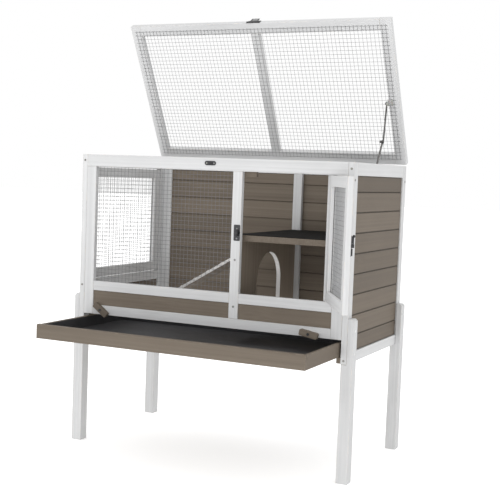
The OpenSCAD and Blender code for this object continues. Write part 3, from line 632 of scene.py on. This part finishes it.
def turned(bm, place, normal, profile, sides, turn=0.0, pinched=None):
    """A closed round shape on place, from its profile of radii and heights along normal. In the
    pinched ring, three points in four are drawn in, which leaves a cross."""
    n = Vector(normal).normalized()
    u = n.orthogonal().normalized()
    w = n.cross(u)
    rings = []
    for index, (r, h) in enumerate(profile):
        ring = []
        for i in range(sides):
            a = 2 * math.pi * i / sides + turn
            reach = r * RECESS_PINCH if index == pinched and i % 4 else r
            ring.append(bm.verts.new(Vector(place) + n * h + (u * math.cos(a) + w * math.sin(a)) * reach))
        rings.append(ring)
    for a, b in zip(rings, rings[1:]):
        for i in range(sides):
            bm.faces.new((a[i], a[(i + 1) % sides], b[(i + 1) % sides], b[i]))
    bm.faces.new(rings[-1])
    bm.faces.new(reversed(rings[0]))
    for f in bm.faces:
        f.smooth = True


def screw_heads(name, node, shares, facing, height=HEAD_H):
    """Countersunk heads with a cross recess on the node's face that looks along -X or -Y. Each is
    placed by its shares of that face's two sides and by its depth from the node's far side."""
    a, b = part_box(node)
    across = 1 - facing
    normal = Vector((0, 0, 0))
    normal[facing] = -1
    profile = ((HEAD_R, -HEAD_SUNK), (HEAD_R, height * 0.35), (HEAD_R * 0.82, height * 0.8),
               (HEAD_R * 0.45, height), (HEAD_R * 0.22, height * 0.3))
    bm = bmesh.new()
    for share_across, share_up, depth in shares:
        place = Vector((0, 0, a.z + (b.z - a.z) * share_up))
        place[across] = a[across] + (b[across] - a[across]) * share_across
        place[facing] = b[facing] - depth
        turned(bm, place, normal, profile, HEAD_SIDES, rng.uniform(0, math.pi / 2), RECESS_RING)
    add_piece(name, bm, ZINC, node)


def domed_cap(name, node, place, axis, radius, height):
    """A rivet's domed cap at place, standing out along axis."""
    profile = [(radius * math.sqrt(1 - share * share), height * share) for share in CAP_SHARES]
    bm = bmesh.new()
    turned(bm, place, axis, profile, CAP_SIDES)
    add_piece(name, bm, BLACK, node)


# The shut hasp's strap lies over the staple, so its screws are nearly flush.
screw_heads("staple_screws", "hasp_staple", [(0.17, 0.5, 0.0012), (0.83, 0.5, 0.0012)], ALONG_Y,
            FLUSH_HEAD_H)
screw_heads("front_keeper_screws", "front_bolt_keeper",
            [(0.5, 0.14, 0.0013), (0.5, 0.76, 0.0013)], ALONG_Y)
screw_heads("side_keeper_screws", "side_bolt_keeper",
            [(0.5, 0.12, 0.0013), (0.5, 0.88, 0.0013)], ALONG_X)

stay_head = Vector(JOINTS["stay_upper_pivot"]["pos_m"]) + Vector((-0.0026, 0, 0))
domed_cap("stay_head_cap", "stay_upper_bracket", stay_head, (-1, 0, 0), radius=0.0046, height=0.0035)

# ---------------------------------------------------------------- floor and light
FLOOR_HALF = 30
FLOOR_GLOW = 0.40
lo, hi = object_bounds()
centre = (lo + hi) / 2


def add_floor():
    """A pale floor that gives off a little light, so that it comes out nearly white."""
    bm = bmesh.new()
    for x, y in ((-1, -1), (1, -1), (1, 1), (-1, 1)):
        bm.verts.new((x * FLOOR_HALF, y * FLOOR_HALF, 0))
    bm.faces.new(bm.verts)
    mesh = bpy.data.meshes.new("floor")
    bm.to_mesh(mesh)
    bm.free()
    k = Tree("floor")
    mottle = k.noise(k.position(), 1.2, 2.0)
    k.put(k.bsdf.inputs["Base Color"], k.mix(mottle, (0.92, 0.92, 0.92), (0.94, 0.94, 0.94)))
    k.bsdf.inputs["Roughness"].default_value = 0.9
    k.bsdf.inputs["Emission Color"].default_value = (1, 1, 1, 1)
    k.bsdf.inputs["Emission Strength"].default_value = FLOOR_GLOW
    mesh.materials.append(k.m)
    link("floor", mesh)


def add_world():
    world = bpy.data.worlds.new("studio")
    bpy.context.scene.world = world
    world.use_nodes = True
    sky = world.node_tree.nodes["Background"]
    sky.inputs["Color"].default_value = (1.0, 1.0, 1.0, 1)
    sky.inputs["Strength"].default_value = 1.0


def area_light(name, place, size, power, target=centre):
    data = bpy.data.lights.new(name, "AREA")
    data.shape = "RECTANGLE"
    data.size, data.size_y = size
    data.energy = power
    lamp = link(name, data)
    lamp.location = place
    lamp.rotation_euler = (target - Vector(place)).to_track_quat("-Z", "Y").to_euler()


add_floor()
add_world()
area_light("key", (-1.8, -4.2, 3.2), (2.4, 2.0), 22)
# A low light from the front, on the underside of the open lid.
area_light("bounce", (0.3, -3.4, 0.35), (3.0, 0.6), 16, Vector((0, 0.1, 1.15)))
area_light("fill", (3.4, -2.4, 1.8), (2.2, 2.2), 6)
area_light("top", (0.2, 0.0, 4.4), (3.0, 3.0), 30)
